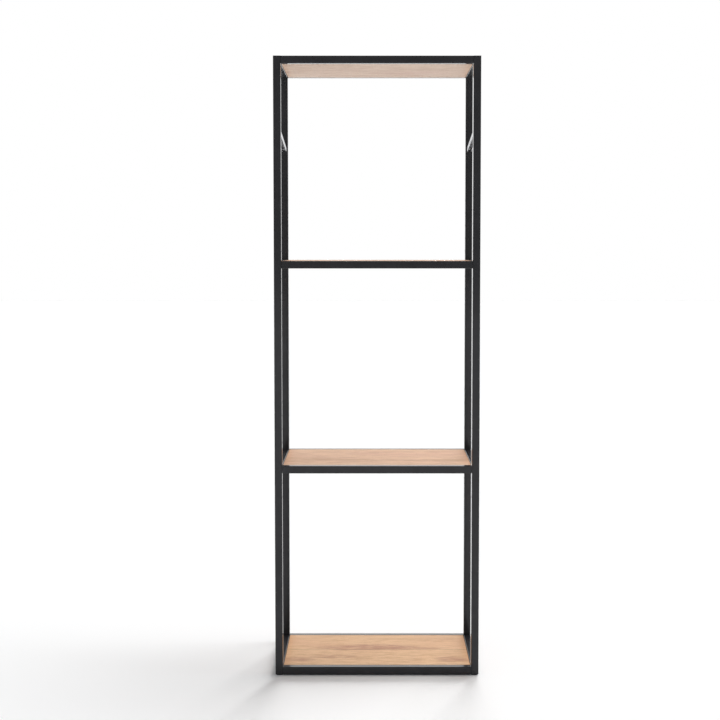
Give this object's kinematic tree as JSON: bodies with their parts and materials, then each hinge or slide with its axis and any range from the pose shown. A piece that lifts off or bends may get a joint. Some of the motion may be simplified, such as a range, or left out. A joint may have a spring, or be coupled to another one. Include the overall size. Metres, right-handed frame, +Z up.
{
  "type": "bookcase with adjustable shelves",
  "caption": "Tall open bookcase: black square-tube steel frame, inlaid oak boards flush with the rails, height-adjustable middle shelves and slim sloping side bars.",
  "frame": {"origin": "on the floor, under the middle of the bookcase's width and depth", "axes": "+Z up along the height, +X to the right seen from the front, +Y from the front to the rear"},
  "size_m": [0.6, 0.38, 1.813],
  "materials": {
    "black_steel": "satin black powder coat",
    "oak": "matt lacquered oak with grain along the width",
    "bright_zinc": "bright zinc plated sheet",
    "zinc_steel": "zinc plated fastener steel",
    "black_plastic": "matt black nylon"
  },
  "bodies": {
    "frame": {"upright_front_left": "black_steel", "upright_front_right": "black_steel", "upright_rear_left": "black_steel", "upright_rear_right": "black_steel", "top_rail_front": "black_steel", "top_rail_rear": "black_steel", "top_rail_left": "black_steel", "top_rail_right": "black_steel", "bottom_rail_front": "black_steel", "bottom_rail_rear": "black_steel", "bottom_rail_left": "black_steel", "bottom_rail_right": "black_steel", "top_board": "oak", "bottom_board": "oak", "top_board_pins": "zinc_steel", "bottom_board_pins": "zinc_steel", "rail_end_nuts": "zinc_steel", "rail_screws": "zinc_steel", "screw_covers": "black_plastic", "upright_end_caps": "black_steel", "foot_thread_plates": "black_steel", "upper_shelf_studs": "zinc_steel", "lower_shelf_studs": "zinc_steel", "side_bar_pegs": "zinc_steel"},
    "upper_shelf": {"upper_shelf_rail_front": "black_steel", "upper_shelf_rail_rear": "black_steel", "upper_shelf_rail_left": "black_steel", "upper_shelf_rail_right": "black_steel", "upper_shelf_board": "oak", "upper_shelf_pins": "zinc_steel", "upper_shelf_hook_plates": "zinc_steel"},
    "lower_shelf": {"lower_shelf_rail_front": "black_steel", "lower_shelf_rail_rear": "black_steel", "lower_shelf_rail_left": "black_steel", "lower_shelf_rail_right": "black_steel", "lower_shelf_board": "oak", "lower_shelf_pins": "zinc_steel", "lower_shelf_hook_plates": "zinc_steel"},
    "side_bar_left": {"side_bar_left": "bright_zinc"},
    "side_bar_right": {"side_bar_right": "bright_zinc"},
    "foot_front_left": {"foot_front_left": "black_plastic"},
    "foot_front_right": {"foot_front_right": "black_plastic"},
    "foot_rear_left": {"foot_rear_left": "black_plastic"},
    "foot_rear_right": {"foot_rear_right": "black_plastic"}
  },
  "joints": [
    {"name": "upper_shelf_height", "type": "slide", "parent": "frame", "child": "upper_shelf", "axis": [0, 0, 1], "range_m": [0, 0.2]},
    {"name": "lower_shelf_height", "type": "slide", "parent": "frame", "child": "lower_shelf", "axis": [0, 0, 1], "range_m": [0, 0.2]},
    {"name": "side_bar_left_lift", "type": "slide", "parent": "frame", "child": "side_bar_left", "axis": [0, 0, 1], "range_m": [0, 0.02]},
    {"name": "side_bar_right_lift", "type": "slide", "parent": "frame", "child": "side_bar_right", "axis": [0, 0, 1], "range_m": [0, 0.02]},
    {"name": "foot_front_left_height", "type": "slide", "parent": "frame", "child": "foot_front_left", "axis": [0, 0, -1], "range_m": [0, 0.01]},
    {"name": "foot_front_right_height", "type": "slide", "parent": "frame", "child": "foot_front_right", "axis": [0, 0, -1], "range_m": [0, 0.01]},
    {"name": "foot_rear_left_height", "type": "slide", "parent": "frame", "child": "foot_rear_left", "axis": [0, 0, -1], "range_m": [0, 0.01]},
    {"name": "foot_rear_right_height", "type": "slide", "parent": "frame", "child": "foot_rear_right", "axis": [0, 0, -1], "range_m": [0, 0.01]}
  ]
}
